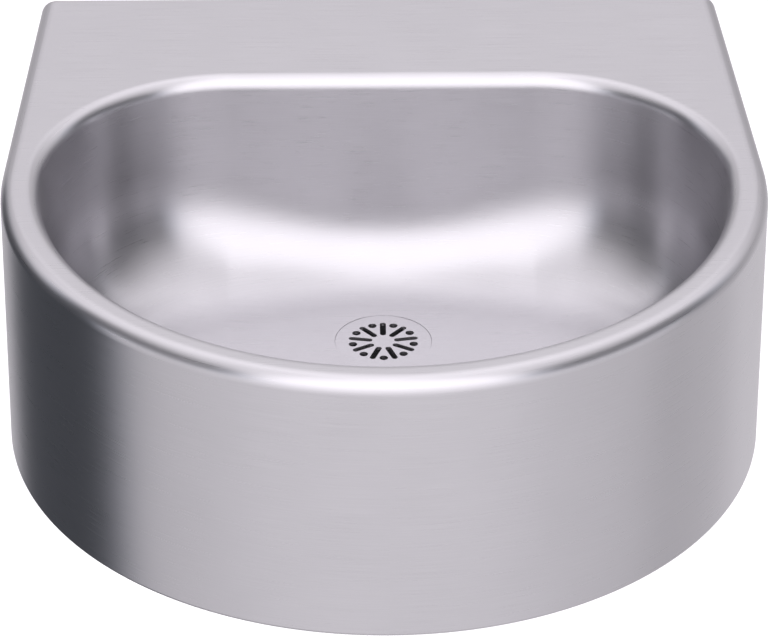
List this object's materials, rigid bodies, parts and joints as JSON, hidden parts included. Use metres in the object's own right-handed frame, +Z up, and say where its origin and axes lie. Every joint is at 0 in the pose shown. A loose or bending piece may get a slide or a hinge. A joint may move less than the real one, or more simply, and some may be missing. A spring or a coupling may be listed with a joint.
{
  "type": "wall-hung hand wash basin",
  "caption": "Wall-hung hand wash basin in satin stainless steel: round-fronted bowl, flat rear ledge, deep apron, flush grated waste and a concealed wall bracket.",
  "frame": {"origin": "middle of the four holes of the wall bracket, in the plane of the wall", "axes": "+Z up, +Y into the wall, +X to the right for someone who faces the wall; the basin stands out towards -Y"},
  "size_m": [0.4, 0.3964, 0.168],
  "materials": {
    "satin_steel": "satin, fine grain",
    "plain_steel": "mill finish 2B",
    "waste_steel": "satin",
    "fastener_steel": "bright",
    "black_rubber": "matt",
    "white_plastic": "matt",
    "nut_brass": "turned",
    "damping_sheet": "matt"
  },
  "bodies": {
    "root": {"bowl_pressing": "satin_steel", "apron_band": "satin_steel", "right_fixing_lug": "plain_steel", "left_fixing_lug": "plain_steel", "rear_rail": "plain_steel", "wall_bracket": "plain_steel", "ledge_stiffener": "plain_steel", "locking_screws": "fastener_steel", "locking_washers": "fastener_steel", "locking_nuts": "fastener_steel", "waste_body": "waste_steel", "waste_gasket": "black_rubber", "waste_rubber_washer": "black_rubber", "waste_slip_washer": "white_plastic", "waste_backnut": "nut_brass", "earth_tag": "plain_steel", "earth_star_washer": "fastener_steel", "earth_screw": "fastener_steel", "earth_washer": "fastener_steel", "earth_nut": "fastener_steel", "bowl_damping_pad": "damping_sheet", "ledge_damping_strip": "damping_sheet"}
  },
  "joints": []
}
